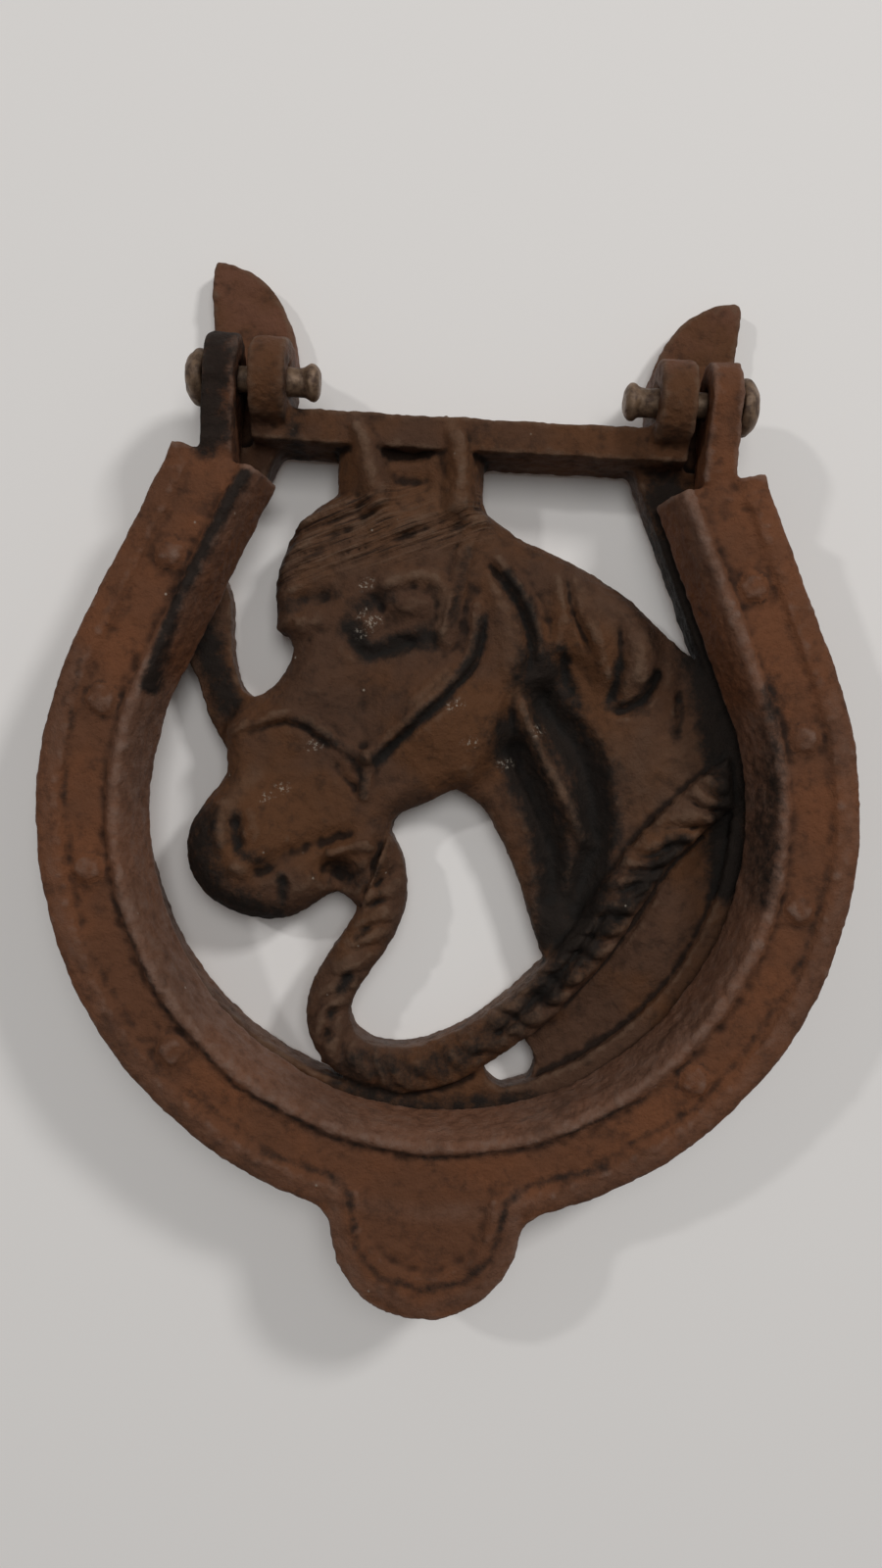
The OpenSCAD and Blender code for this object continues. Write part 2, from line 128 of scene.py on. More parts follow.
class Board:
    """A grid over x and z that holds heights, with brushes that raise and cut them."""

    def __init__(self, x0, x1, z0, z1, step):
        self.step = step
        self.xs = np.arange(x0, x1 + step / 2, step)
        self.zs = np.arange(z0, z1 + step / 2, step)
        self.x, self.z = np.meshgrid(self.xs, self.zs)
        self.h = np.zeros_like(self.x)
        self.hair = np.zeros_like(self.x)

    def near(self, line, reach):
        """Cells within reach of a line: their indices, distance, side (left is +) and place along it."""
        lo, hi = line.min(0) - reach, line.max(0) + reach
        box = (self.x > lo[0]) & (self.x < hi[0]) & (self.z > lo[1]) & (self.z < hi[1])
        rows, cols = np.nonzero(box)
        p = np.stack([self.x[rows, cols], self.z[rows, cols]], 1)
        best = np.full(len(p), 1e9)
        side = np.zeros(len(p))
        along = np.zeros(len(p))
        length = 0.0
        for a, b in zip(line[:-1], line[1:]):
            d = b - a
            size = np.hypot(*d)
            t = np.clip(((p - a) @ d) / size ** 2, 0, 1)
            off = p - (a + t[:, None] * d)
            dist = np.hypot(off[:, 0], off[:, 1])
            closer = dist < best
            best = np.where(closer, dist, best)
            side = np.where(closer, np.sign(d[0] * off[:, 1] - d[1] * off[:, 0]), side)
            along = np.where(closer, length + t * size, along)
            length += size
        keep = best < reach
        return rows[keep], cols[keep], best[keep], side[keep], along[keep], length

    def ridge(self, points, width, height, taper=0.0, power=1.0):
        """Raises (or with a negative height cuts) a rounded ridge along a line."""
        r, c, d, _, s, length = self.near(curve(points), width)
        shape = (0.5 + 0.5 * np.cos(np.pi * d / width)) ** power
        if taper:
            shape *= smoothstep(0, taper, s) * smoothstep(0, taper, length - s)
        self.h[r, c] += height * shape

    def strap(self, points, width, height, edge=0.5):
        """A flat strap with soft edges along a line."""
        r, c, d, _, _, _ = self.near(curve(points), width / 2 + edge)
        self.h[r, c] += height * (1 - smoothstep(width / 2 - edge, width / 2 + edge, d))

    def dome(self, at, radii, height, turn=0.0, power=1.0):
        """Raises an oval swelling. turn is in degrees, anticlockwise."""
        a = math.radians(turn)
        dx, dz = self.x - at[0], self.z - at[1]
        u = (dx * math.cos(a) + dz * math.sin(a)) / radii[0]
        v = (-dx * math.sin(a) + dz * math.cos(a)) / radii[1]
        r = np.clip(np.hypot(u, v), 0, 1)
        self.h += height * (0.5 + 0.5 * np.cos(np.pi * r)) ** power

    def blur(self, field, radius, mask=None):
        """A soft average over a radius, within a mask where one is given."""
        reach = max(1, int(3 * radius / self.step))
        k = np.exp(-0.5 * (np.arange(-reach, reach + 1) * self.step / radius) ** 2)
        k /= k.sum()
        weight = np.ones_like(field) if mask is None else mask.astype(float)

        def both_ways(f):
            f = np.pad(f, reach, mode="edge")
            f = sum(w * f[i:f.shape[0] - 2 * reach + i, :] for i, w in enumerate(k))
            return sum(w * f[:, i:f.shape[1] - 2 * reach + i] for i, w in enumerate(k))

        return both_ways(field * weight) / np.maximum(both_ways(weight), 1e-6)

    def distance(self, target, reach):
        """The distance from each cell to the nearest target cell, up to reach."""
        n = int(reach / self.step)
        across = np.full(target.shape, 1e6)
        for k in range(-n, n + 1):
            moved = np.roll(target, k, 1)
            across = np.where(moved, np.minimum(across, abs(k)), across)
        best = np.full(target.shape, 1e6)
        for k in range(-n, n + 1):
            best = np.minimum(best, np.roll(across, k, 0) ** 2 + k * k)
        return np.minimum(np.sqrt(best) * self.step, reach)

    def sample(self, field, x, z):
        """The field's value at any points, between the cells."""
        u = np.clip((x - self.xs[0]) / self.step, 0, len(self.xs) - 1.001)
        v = np.clip((z - self.zs[0]) / self.step, 0, len(self.zs) - 1.001)
        i, j = u.astype(int), v.astype(int)
        fu, fv = u - i, v - j
        return ((field[j, i] * (1 - fu) + field[j, i + 1] * fu) * (1 - fv)
                + (field[j + 1, i] * (1 - fu) + field[j + 1, i + 1] * fu) * fv)


def tree_of(names):
    """A search tree over CAD nodes, and the node that each of its triangles belongs to."""
    verts, tris, owner = [], [], []
    for k, name in enumerate(names):
        mesh = nodes[name].data
        mesh.calc_loop_triangles()
        base = len(verts)
        verts += [v.co / MM for v in mesh.vertices]
        tris += [tuple(base + i for i in t.vertices) for t in mesh.loop_triangles]
        owner += [k] * len(mesh.loop_triangles)
    return BVHTree.FromPolygons(verts, tris), np.array(owner)


def look_down(board, names):
    """For each cell, the height of the first surface seen from the front and its node's index, or -1."""
    tree, owner = tree_of(names)
    top = np.zeros_like(board.x)
    which = np.full(board.x.shape, -1)
    down = Vector((0, 1, 0))
    for j, z in enumerate(board.zs):
        for i, x in enumerate(board.xs):
            hit = tree.ray_cast(Vector((x, -60, z)), down)
            if hit[0] is not None:
                top[j, i] = -hit[0].y
                which[j, i] = owner[hit[2]]
    return top, which


# ---------------------------------------------------------------- the horse's relief

# The relief's grid: the CAD's height and node in each cell, and the striker's cells in front of it
board = Board(-56, 56, -57, 73, STEP)
top, which = look_down(board, PLATE)
striker_cells = look_down(board, STRIKER)[1] >= 0
is_plate = which >= 0
is_horse = np.isin(which, [PLATE.index(n) for n in HORSE])
# How the forelock's strands lean, in degrees
HAIR_SLOPE = 23.5


def cells_of(name):
    """The cells where this node is what shows from the front."""
    return which == PLATE.index(name)


def sculpt_forms():
    """The large forms: soft steps from head to neck to chest, swellings, and rounded silhouettes."""
    base = np.zeros_like(board.x)
    level = {
        "horse_head": 11.2, "forelock": 11.7, "bridle": 11.2, "ears": 12.2, "horse_neck": 7.4, "mane": 9.6,
        "chest_panel": 5.6, "rein_rope": 7.6, "nose_bridge": 6.4}
    for name, height in level.items():
        base[cells_of(name)] = height
    board.h = board.blur(base, 1.1, is_horse)
    # skull, brow, nasal bone, cheek and muzzle
    board.dome((-13, 38), (19, 15), 1.6, 20)
    board.dome((-3, 17), (13, 15), 2.6, 60)
    board.dome((-24, 20), (8, 19), 1.0, -32)
    board.dome((-35, -8), (14, 12), 2.6, 70)
    board.dome((-25.5, -14.5), (6, 5), 1.0)
    # neck: a muscle ridge between two valleys, the shoulder and the crest
    muscle = [(10.8, 22.3), (12.4, 18.9), (15.1, 12.9), (19.1, 6.6), (22.4, 1), (25.4, -4.1), (27, -7)]
    throat = [(9.8, 15.2), (11.8, 10.9), (14.2, 5.8), (18.3, -2.8), (19.8, -11.5), (20.2, -18.5)]
    nape = [
        (14.5, 25.2), (16.2, 20.9), (18.8, 17.5), (22.6, 13.3), (25.2, 8.2), (26.6, 1.2), (26.6, -5.8),
        (25.2, -12.9), (23.7, -20)]
    board.ridge(muscle, 2.6, 2.2, 4)
    board.ridge(throat, 4.0, -2.8, 4)
    board.ridge(nape, 4.6, -3.2, 4)
    board.dome((38, 13), (15, 17), 1.6, 60)
    board.dome((26, 35), (20, 10), 1.2, -32)
    # chest: a smooth swelling that falls away to the rim
    board.dome((38, -22), (20, 13), 1.6, 55)


def round_edges():
    """Rounds the relief down to its free edges, as a casting's silhouette is."""
    reach = 4.6
    edge_height = 5.2
    inside = board.blur(board.distance(~is_plate, 6.0), 0.35)
    t = np.clip(inside / reach, 0, 1)
    rounding = np.sqrt(np.clip(1 - (1 - t) ** 2, 0, 1))
    edge = np.minimum(edge_height, board.h)
    board.h = edge + (board.h - edge) * rounding


def sculpt_eye():
    """A lens of an eye under a thick lid, soft hollows round it, and the hollow of the far brow."""
    board.dome((-12, 33.2), (10, 7), -1.3, -10)
    board.dome((-9.0, 35.8), (5.2, 3.3), 1.5, -5, 0.7)
    upper_lid = [(-14.8, 38), (-12.1, 39.9), (-8.8, 41.2), (-5, 41.2), (-2.6, 38.6), (-2.6, 34), (-4, 29.6)]
    below_eye = [(-19.4, 31.4), (-18.3, 28.6), (-15.5, 27), (-12.1, 28), (-9, 29.3), (-5.8, 30.2)]
    board.ridge(upper_lid, 2.3, 1.1, 2)
    board.ridge(below_eye, 2.3, -1.2, 3)
    board.ridge([(-16.4, 38), (-14.4, 36.4), (-13, 34.4)], 1.5, -0.7, 1)
    board.dome((-8.4, 32), (4.2, 2.6), 0.7)
    board.dome((-15.6, 32.6), (3.2, 2.6), 0.8)
    board.ridge([(-31, 34.7), (-26.7, 36.2), (-21.6, 37.7)], 3.0, -1.2, 3)
    board.ridge([(-32.6, 31.4), (-28, 31.6), (-23, 33.4)], 2.4, 0.6, 2)


def sculpt_muzzle():
    """The nostril, the mouth, the bit and the folds of the lips and the face."""
    # nostril: a curved groove between two raised rims, with a small swelling below
    board.ridge([(-37.2, -2.2), (-37.2, -6.4), (-35.2, -9.6)], 2.4, -1.3, 2)
    board.ridge([(-39.4, 1.4), (-40.2, -2.4), (-40, -6.4), (-38.6, -9)], 2.0, 0.7, 2)
    board.ridge([(-34.4, 0), (-33.8, -4), (-32.8, -7.4)], 2.0, 0.6, 2)
    board.dome((-36.3, -12), (2.6, 2.1), 1.1)
    # a soft mouth crease from the lips to the bit, and the lip folds
    mouth = [(-35, -11.6), (-31.2, -11.1), (-27.5, -9), (-24.1, -7.4), (-19.9, -5.7), (-14.5, -4)]
    board.ridge(mouth, 2.8, -1.1, 5)
    board.dome((-32.2, -12.4), (3.6, 2.4), -1.2, 10)
    board.ridge([(-28.9, -12.6), (-28.2, -15.4), (-28.8, -18)], 1.6, -0.8, 1)
    # the bit, and the hollow between the chin and the rein
    board.ridge([(-21.4, -9), (-17.3, -7.2), (-12.4, -6.4)], 2.0, 1.3, 1)
    board.dome((-18.8, -12.2), (5.8, 4.0), -3.6, -10)
    # folds on the face
    board.ridge([(-37, 13), (-31, 20), (-27.4, 26.6), (-25, 32)], 2.2, -0.45, 4)
    board.ridge([(-35, 13), (-27, 18.6), (-20, 24)], 2.2, 0.4, 4)


def sculpt_forelock():
    """Fine straight strands that slant down over the brow from behind the ear."""
    lower = curve([
        (4.6, 48.7), (1.2, 47.8), (-3.9, 45.5), (-8.1, 44), (-12.3, 42.9), (-16.6, 42.1), (-20.8, 40.9),
        (-25.1, 39.4), (-29.3, 37.8), (-34.3, 36)])
    slope = np.radians(HAIR_SLOPE + 0.12 * (board.z - 47))
    along = board.x * np.cos(slope) + board.z * np.sin(slope)
    across = board.z * np.cos(slope) - board.x * np.sin(slope) + 0.25 * np.sin(along / 5.0)
    hair = np.zeros_like(board.h)
    for seed, spacing, run, high in ((61, 0.8, 9.0, 0.42), (62, 0.5, 6.0, 0.26), (63, 2.2, 12.0, 0.40)):
        p = np.stack([along.ravel() / run, across.ravel() / spacing, np.zeros(along.size)], 1) + 60
        hair += high * Noise(seed).at(p, 1.0).reshape(hair.shape)
    r, c, d, side, _, _ = board.near(lower, 30)
    cover = np.zeros_like(board.h)
    cover[r, c] = smoothstep(-1.2, 3.2, np.where(side < 0, d, -d))
    brow = cells_of("horse_head") | cells_of("forelock") | cells_of("bridle")
    cover = board.blur(cover * (brow & (board.z < 57.5)), 0.3)
    # a worn oval between the ears has no strands left
    smooth = np.clip(1 - np.hypot((board.x + 8) / 8, (board.z - 54.5) / 3.6), 0, 1) ** 0.5
    board.hair = cover * (1 - 0.8 * smooth)
    board.h += cover * (0.25 + 1.8 * hair * (1 - smooth))


def sculpt_locks():
    """The lock behind the ear and the broad locks of the mane, with soft valleys between them."""
    board.ridge([(5, 43.6), (6.6, 38.5), (8.7, 33.3), (9.7, 28.2), (9.6, 22.9)], 3.4, 1.1, 5)
    lock = [(5.7, 47), (8.9, 42.4), (11.9, 38.6), (14.1, 33.8), (14.9, 29.8), (14.2, 25.6)]
    board.ridge(lock, 2.4, 0.9, 3)
    board.ridge([(x - 1.6, z - 1.2) for x, z in lock], 1.9, -1.3, 4)
    board.ridge([(16.9, 44.2), (18.2, 38.2), (18.1, 33), (17, 28.2)], 2.2, 0.9, 3)
    # the long lines and the crescents at the locks' ends
    board.ridge([(18.3, 44.7), (19.9, 37.8), (22.9, 32.1), (25.5, 27.7)], 1.6, -1.2, 4)
    board.ridge([(28.2, 37), (29.2, 31.1), (28.9, 26), (28.3, 21.9), (28.1, 19.9)], 1.9, -1.1, 4)
    board.ridge([(27.2, 19.5), (31.5, 20.2), (34, 22.2), (35.7, 25.3), (36.9, 29)], 1.9, -1.4, 3)
    board.ridge([(31.8, 34), (32.7, 27.8), (31.9, 23.4)], 2.8, 1.0, 4)
    board.ridge([(22.4, 37), (24.8, 31.6), (26.2, 26), (25.4, 21.6)], 2.6, 0.9, 4)
    board.ridge([(18.8, 30.4), (19.7, 25.3), (21.9, 20.6)], 2.3, -1.2, 3)
    board.ridge([(39.5, 25.4), (41.1, 20.8), (40.6, 17), (39.1, 14.6)], 1.9, -0.9, 3)
    board.ridge([(36.9, 31), (38.6, 25.6), (38.2, 20)], 2.4, 0.6, 4)


def sculpt_bridle():
    """The straps: from the poll past the eye, over the cheek to the bit, and round the nose."""
    board.strap([(2.8, 52.1), (1.1, 48.5), (0, 43.8), (-0.4, 39.5), (-1.2, 35.1), (-1.9, 30.4)], 2.8, 0.8)
    cheek = [
        (3, 36.5), (3.1, 32.8), (2.6, 29.3), (1.4, 26.4), (-2.5, 21.7), (-7.4, 16.6), (-10.6, 13.5),
        (-14.5, 9.3)]
    board.strap(cheek, 2.0, 0.8)
    board.ridge([(x + 1.4, z - 1.3) for x, z in cheek], 1.5, -0.9, 3)
    board.ridge([(x - 1.4, z + 1.3) for x, z in cheek[2:]], 1.2, 0.4, 3)
    nose = [
        (-40, 12.4), (-38.5, 12.8), (-34.5, 14.2), (-30.6, 15.5), (-27.1, 15.1), (-23.6, 13.6), (-20, 11.1),
        (-14.8, 8.6)]
    board.strap(nose, 2.0, 0.8)
    board.ridge([(x - 0.4, z - 1.6) for x, z in nose[2:7]], 1.4, -0.5, 3)
    board.strap([(-14.9, 9), (-14.7, 5.9), (-15, 2.2)], 2.2, 0.9)
    board.ridge([(-21.1, 8.6), (-19.7, 6), (-17.5, 3.8), (-15.5, 2)], 1.5, -0.7, 2)
    board.dome((-15.2, 8.6), (2.6, 2.4), 0.7)


def sculpt_ears():
    """Two ridges that rise out of the poll and run over the crossbar, and the dent between them."""
    board.ridge([(-21.2, 71), (-18.6, 64.3), (-16.8, 58.7), (-15, 53.6), (-14, 50)], 3.8, 2.9, 4, 0.8)
    board.ridge([(-4.1, 71.4), (-2, 65.2), (-0.9, 59.6), (-0.9, 54.6), (-1.6, 50)], 3.8, 2.9, 4, 0.8)
    board.dome((-21.4, 70.6), (2.6, 3.2), 2.2)
    board.dome((-4.2, 71), (2.6, 3.2), 2.2)
    board.dome((-10.2, 63), (6.4, 2.2), -1.6, 8)
    board.dome((-9.6, 58), (5, 3), -0.8)


def sculpt_rope():
    """An uneven laid rope: slanted strands with pits between them, and lumps where it crosses the neck."""
    rope = curve([
        (-13, -7.4), (-10.9, -11), (-10.6, -16), (-12.4, -22), (-15.8, -27.6), (-18.7, -33), (-19.5, -38),
        (-17.6, -42.8), (-13, -46), (-7, -46.9), (-1, -45.9), (5, -43.3), (11, -39.2), (17, -34), (22.6, -28),
        (27.4, -21.5), (31.4, -14.5), (35.6, -7.6), (41, -1), (47, 5.2), (54, 11)])
    strand = 5.0
    r, c, d, side, s, _ = board.near(rope, 4.2)
    off = side * d
    body = np.sqrt(np.clip(1 - (d / 4.6) ** 2, 0, 1))
    p = np.stack([board.x[r, c], board.z[r, c], np.zeros(len(r))], 1) + 60
    drift = 0.45 * Noise(71).at(p, 6.0)
    lay = np.abs(np.sin(np.pi * (s / strand + off * 0.16 + drift))) ** 0.7
    # the lay is deepest along the chest and faint round the bottom
    chest = 0.55 * smoothstep(66, 84, s)
    bottom = 0.15 * smoothstep(40, 50, s) * smoothstep(70, 58, s)
    strength = (0.5 + 0.35 * Noise(72).at(p, 9.0)) + chest - bottom
    swell = 3.0 * body * cells_of("rein_rope")[r, c]
    board.h[r, c] += swell + (lay - 0.62) * 1.9 * np.clip(strength, 0.05, 1) * body
    # pits between the strands: place, length, width, turn and depth
    pits = (
        (-11.8, -16.8, 2.6, 1.2, 30, 1.0), (-14, -22.4, 3.0, 1.3, 35, 1.5), (-16.6, -31.4, 2.6, 2.0, 55, 2.2),
        (-18.6, -36.7, 2.2, 1.5, 30, 1.3), (-19, -41, 2.4, 1.5, 25, 1.2), (-11.8, -12.2, 1.4, 3.0, 0, 1.5),
        (-14.8, -27, 2.2, 1.0, 35, 0.8), (8, -43, 2.6, 1.3, 30, 1.0))
    for x, z, long, wide, turn, depth in pits:
        board.dome((x, z), (1.15 * long, wide), -0.62 * depth, turn)
    # the smooth cord and the groove inside the rope, where it crosses the neck
    board.ridge([(9.4, -37), (14.4, -32.2), (19.3, -27), (24.4, -21.6), (28, -16.6)], 1.5, 1.0, 4)
    groove = [(9.7, -40.4), (14.7, -35.6), (18.9, -30.9), (22.8, -26.2), (26.4, -21), (30, -15)]
    board.ridge(groove, 1.2, -1.5, 3)
    lumps = (
        (20.6, -32.4), (24.2, -28.2), (27.4, -24), (30.2, -19.6), (33, -15.4), (35.8, -11.2), (38.4, -6.6),
        (42.6, -2.6), (46.4, 1))
    for x, z in lumps:
        board.dome((x, z), (2.1, 1.5), 1.3, 20)
        board.dome((x + 1.3, z + 2), (1.3, 0.8), -0.9, 20)
    board.ridge([(22.4, -34.6), (29.4, -26), (35.6, -17), (40.4, -8.4), (47.4, -1)], 1.3, -1.3, 2)


def keep_clear():
    """Keeps the relief behind the striker, and lets it rise again beside it."""
    behind_striker = 7.9
    gap = board.distance(striker_cells, 9.0)
    limit = behind_striker + np.maximum(0, gap - 1.2) * 1.8
    board.h = soft_min(board.h, limit, 1.0)


sculpt_forms()
round_edges()
sculpt_ears()
sculpt_eye()
sculpt_muzzle()
sculpt_forelock()
sculpt_locks()
sculpt_bridle()
sculpt_rope()
keep_clear()


# ---------------------------------------------------------------- meshes

def mesh_object(name, verts_mm, faces):
    """A new object in the scene from points in mm and faces."""
    mesh = bpy.data.meshes.new(name)
    points = [tuple(v) for v in np.asarray(verts_mm) * MM]
    mesh.from_pydata(points, [], [tuple(int(i) for i in f) for f in faces])
    mesh.update()
    obj = bpy.data.objects.new(name, mesh)
    bpy.context.scene.collection.objects.link(obj)
    return obj


def relief_object():
    """A closed solid of the horse: the sculpted front, a hollow back and walls along the outline."""
    wall = 5.0
    near_horse = board.distance(is_horse, 1.2)
    mask = is_horse | (is_plate & (near_horse < 1.0))
    face = np.where(is_horse, board.h, np.minimum(board.blur(board.h, 0.9, is_horse), top - 0.5))
    hollow = smoothstep(2.6, 5.6, board.distance(~is_plate, 7.0))
    hollow = np.maximum(face - wall, 0) * hollow * smoothstep(0.4, 2.6, board.distance(~is_horse, 3.0))
    back = np.minimum(board.blur(hollow, 0.9), face - 2.0)

    # a cell is built where all four of its corners lie in the mask
    quad = mask[:-1, :-1] & mask[1:, :-1] & mask[:-1, 1:] & mask[1:, 1:]
    used = np.zeros_like(mask)
    for dj in (0, 1):
        for di in (0, 1):
            used[dj:used.shape[0] - 1 + dj, di:used.shape[1] - 1 + di] |= quad
    count = int(used.sum())
    index = np.full(mask.shape, -1)
    index[used] = np.arange(count)
    x, z = board.x[used], board.z[used]
    verts = np.vstack([np.stack([x, -face[used], z], 1), np.stack([x, -back[used], z], 1)])
    a, b = index[:-1, :-1][quad], index[:-1, 1:][quad]
    c, d = index[1:, 1:][quad], index[1:, :-1][quad]
    faces = [np.stack([a, b, c, d], 1), np.stack([a, d, c, b], 1) + count]

    # a wall on each side of a cell that has no neighbour: the way there, and that side's two corners
    sides = (
        (-1, 0, (0, 0), (0, 1)), (0, 1, (0, 1), (1, 1)),
        (1, 0, (1, 1), (1, 0)), (0, -1, (1, 0), (0, 0)))
    padded = np.pad(quad, 1)
    for dj, di, p, q in sides:
        beside = padded[1 + dj:padded.shape[0] - 1 + dj, 1 + di:padded.shape[1] - 1 + di]
        rows, cols = np.nonzero(quad & ~beside)
        first, second = index[rows + p[0], cols + p[1]], index[rows + q[0], cols + q[1]]
        faces.append(np.stack([second, first, first + count, second + count], 1))
    return mesh_object("relief", verts, np.vstack(faces))


def cad_copy(names, name):
    """One new object that holds copies of CAD nodes' meshes."""
    verts, faces = [], []
    for node in names:
        mesh = nodes[node].data
        base = len(verts)
        verts += [v.co / MM for v in mesh.vertices]
        faces += [[base + i for i in f.vertices] for f in mesh.polygons]
    return mesh_object(name, verts, faces)


def apply_modifiers(obj):
    """Bakes the object's modifiers into its mesh."""
    graph = bpy.context.evaluated_depsgraph_get()
    new = bpy.data.meshes.new_from_object(obj.evaluated_get(graph))
    obj.modifiers.clear()
    old = obj.data
    obj.data = new
    bpy.data.meshes.remove(old)


def voxel_remesh(obj, size):
    """One closed skin round everything in the object, with voxels of this size in mm."""
    change = obj.modifiers.new("remesh", "REMESH")
    change.mode = "VOXEL"
    change.voxel_size = size * MM
    apply_modifiers(obj)


def joined(name, *objects):
    """One object from several; the parts are removed."""
    verts, faces = [], []
    for obj in objects:
        base = len(verts)
        verts += [v.co / MM for v in obj.data.vertices]
        faces += [[base + i for i in f.vertices] for f in obj.data.polygons]
        bpy.data.objects.remove(obj)
    return mesh_object(name, verts, faces)


class Skin:
    """A mesh's points in mm, with its edges, for smoothing, cast texture, wear, soot and painted shade."""

    def __init__(self, obj):
        self.mesh = obj.data
        n, m = len(self.mesh.vertices), len(self.mesh.edges)
        p = np.empty(n * 3)
        self.mesh.vertices.foreach_get("co", p)
        self.p = p.reshape(-1, 3) / MM
        e = np.empty(m * 2, int)
        self.mesh.edges.foreach_get("vertices", e)
        e = e.reshape(-1, 2)
        self.a = np.concatenate([e[:, 0], e[:, 1]])
        self.b = np.concatenate([e[:, 1], e[:, 0]])
        self.degree = np.maximum(np.bincount(self.a, minlength=n), 1)

    def mean(self, values):
        """The average of each point's neighbours."""
        n = len(self.degree)
        if values.ndim == 1:
            return np.bincount(self.a, values[self.b], n) / self.degree
        return np.stack([self.mean(values[:, k]) for k in range(values.shape[1])], 1)

    def smoothed(self, values, times):
        """Moves each value half way to its neighbours' average, a number of times."""
        for _ in range(times):
            values = values + 0.5 * (self.mean(values) - values)
        return values

    def write(self):
        self.mesh.vertices.foreach_set("co", (self.p * MM).ravel())
        self.mesh.update()

    def normals(self):
        self.write()
        n = np.empty(len(self.p) * 3)
        self.mesh.vertices.foreach_get("normal", n)
        return n.reshape(-1, 3)

    def roughen(self, layers, seed):
        """Moves the skin in and out with smooth noise: pairs of scale and height in mm."""
        out = self.normals()
        move = np.zeros(len(self.p))
        for k, (scale, height) in enumerate(layers):
            move += height * Noise(seed + k).at(self.p + 100.0, scale)
        self.p = self.p + out * move[:, None]
        self.write()

    def laid(self, lines):
        """How strongly each point of the front lies under lines of x and z in mm."""
        at = self.p[:, [0, 2]]
        total = np.zeros(len(at))
        for points, width, strength in lines:
            line = np.array(points, float)
            best = np.full(len(at), 1e9)
            for a, b in zip(line[:-1], line[1:]):
                d = b - a
                t = np.clip(((at - a) @ d) / (d @ d), 0, 1)
                off = at - (a + t[:, None] * d)
                best = np.minimum(best, (off * off).sum(1))
            total = np.maximum(total, strength * smoothstep(1.2 * width, 0, np.sqrt(best)))
        return total * smoothstep(0.5, 0.1, self.normals()[:, 1])

    def store(self, name, values):
        """Keeps a value for each point, for the material to read."""
        layer = self.mesh.attributes.new(name, "FLOAT", "POINT")
        layer.data.foreach_set("value", values.astype(np.float32))

    def wear_crests_and_shade_hollows(self):
        """Stores how far each point stands out of, or lies inside, the surface around it: the crests for
        wear, the hollows for painted shade.
        """
        out = self.normals()
        fine = np.einsum("ij,ij->i", self.p - self.smoothed(self.p, 14), out)
        broad = np.einsum("ij,ij->i", self.p - self.smoothed(self.p, 90), out)
        crest = np.clip(0.45 * fine / 0.10 + 0.25 * broad / 0.35 - 0.05, 0, 1)
        cavity = np.clip(-0.2 * fine / 0.10 - 0.5 * broad / 0.35, 0, 1)
        self.store("crest", self.smoothed(crest, 2))
        self.store("cavity", self.smoothed(cavity, 2))


def shade_smooth(obj):
    obj.data.polygons.foreach_set("use_smooth", np.ones(len(obj.data.polygons), bool))
    obj.data.update()


def softened(obj, size, times):
    """Remeshes an object and rounds its edges."""
    voxel_remesh(obj, size)
    skin = Skin(obj)
    skin.p = skin.smoothed(skin.p, times)
    skin.write()
    return obj


# ---------------------------------------------------------------- the castings

# The cast skin's unevenness: pairs of scale and height in mm
CAST_LAYERS = [(9.0, 0.16), (3.2, 0.09), (1.5, 0.13), (0.8, 0.10)]

